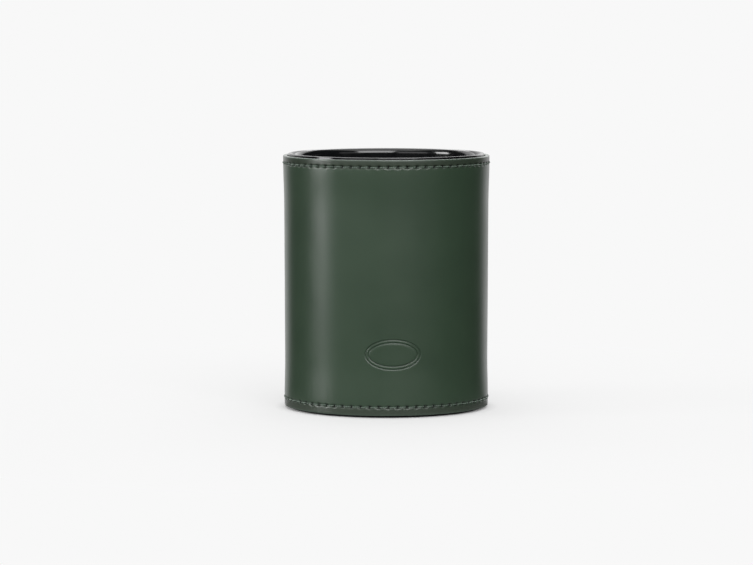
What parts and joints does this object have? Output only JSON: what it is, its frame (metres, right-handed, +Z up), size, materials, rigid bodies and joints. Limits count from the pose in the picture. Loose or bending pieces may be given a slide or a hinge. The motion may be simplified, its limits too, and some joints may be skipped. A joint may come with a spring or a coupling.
{
  "type": "pencil cup",
  "caption": "Round desk cup for pens and pencils: glossy moulded liner wrapped in a stitched, turned-edge leather panel, standing on a thin non-slip pad.",
  "frame": {"origin": "centre of the cup's footprint, on the desk", "axes": "+Z up along the cup's axis; the stamped front faces -Y and the wrap's butt seam is on +Y"},
  "size_m": [0.082, 0.0819, 0.1],
  "materials": {
    "liner_plastic": "glossy moulded",
    "green_leather": "smooth semi-matt",
    "grey_board": "uncoated",
    "tape_film": "translucent adhesive",
    "pad_rubber": "matt foamed",
    "sewing_thread": "twisted polyester"
  },
  "bodies": {
    "root": {"liner_cup": "liner_plastic", "leather_wrap": "green_leather", "stiffener_board": "grey_board", "wrap_tape": "tape_film", "base_pad": "pad_rubber", "pad_tape": "tape_film", "top_needle_thread": "sewing_thread", "top_bobbin_thread": "sewing_thread", "bottom_needle_thread": "sewing_thread", "bottom_bobbin_thread": "sewing_thread", "seam_needle_thread": "sewing_thread", "seam_bobbin_thread": "sewing_thread"}
  },
  "joints": []
}
